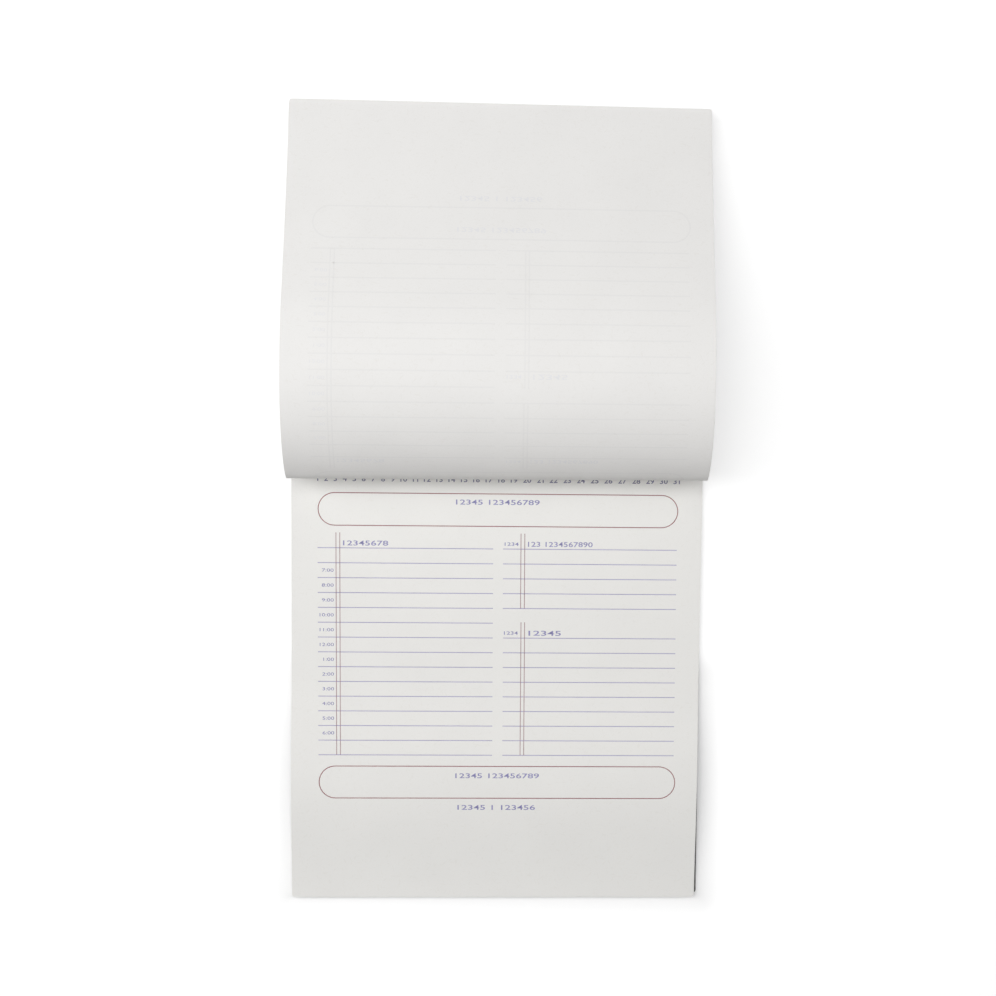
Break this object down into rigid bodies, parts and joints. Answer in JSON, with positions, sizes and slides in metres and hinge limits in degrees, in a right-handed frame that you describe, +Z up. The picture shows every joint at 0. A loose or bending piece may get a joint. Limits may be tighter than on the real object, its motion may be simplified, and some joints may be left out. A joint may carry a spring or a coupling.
{
  "type": "post-bound desk pad",
  "caption": "Letter size desk pad of printed planner leaves on a charcoal back board, bound by screw posts at its head, with used leaves turned back in an arch.",
  "frame": {"origin": "under the middle of the leaves, on the underside of the back board where the pad lies on the desk", "axes": "+X to the right across the pad as it is read, +Y from the foot of the pad towards its bound head, +Z up from the desk"},
  "size_m": [0.2171, 0.4197, 0.061],
  "materials": {
    "paper": "matte",
    "board": "matte",
    "post_metal": "satin"
  },
  "bodies": {
    "root": {"back_board": "board", "page_block": "paper", "turned_leaves": "paper", "head_strip": "board", "post_1": "post_metal", "post_2": "post_metal", "post_3": "post_metal", "post_screw_1": "post_metal", "post_screw_2": "post_metal", "post_screw_3": "post_metal"}
  },
  "joints": []
}
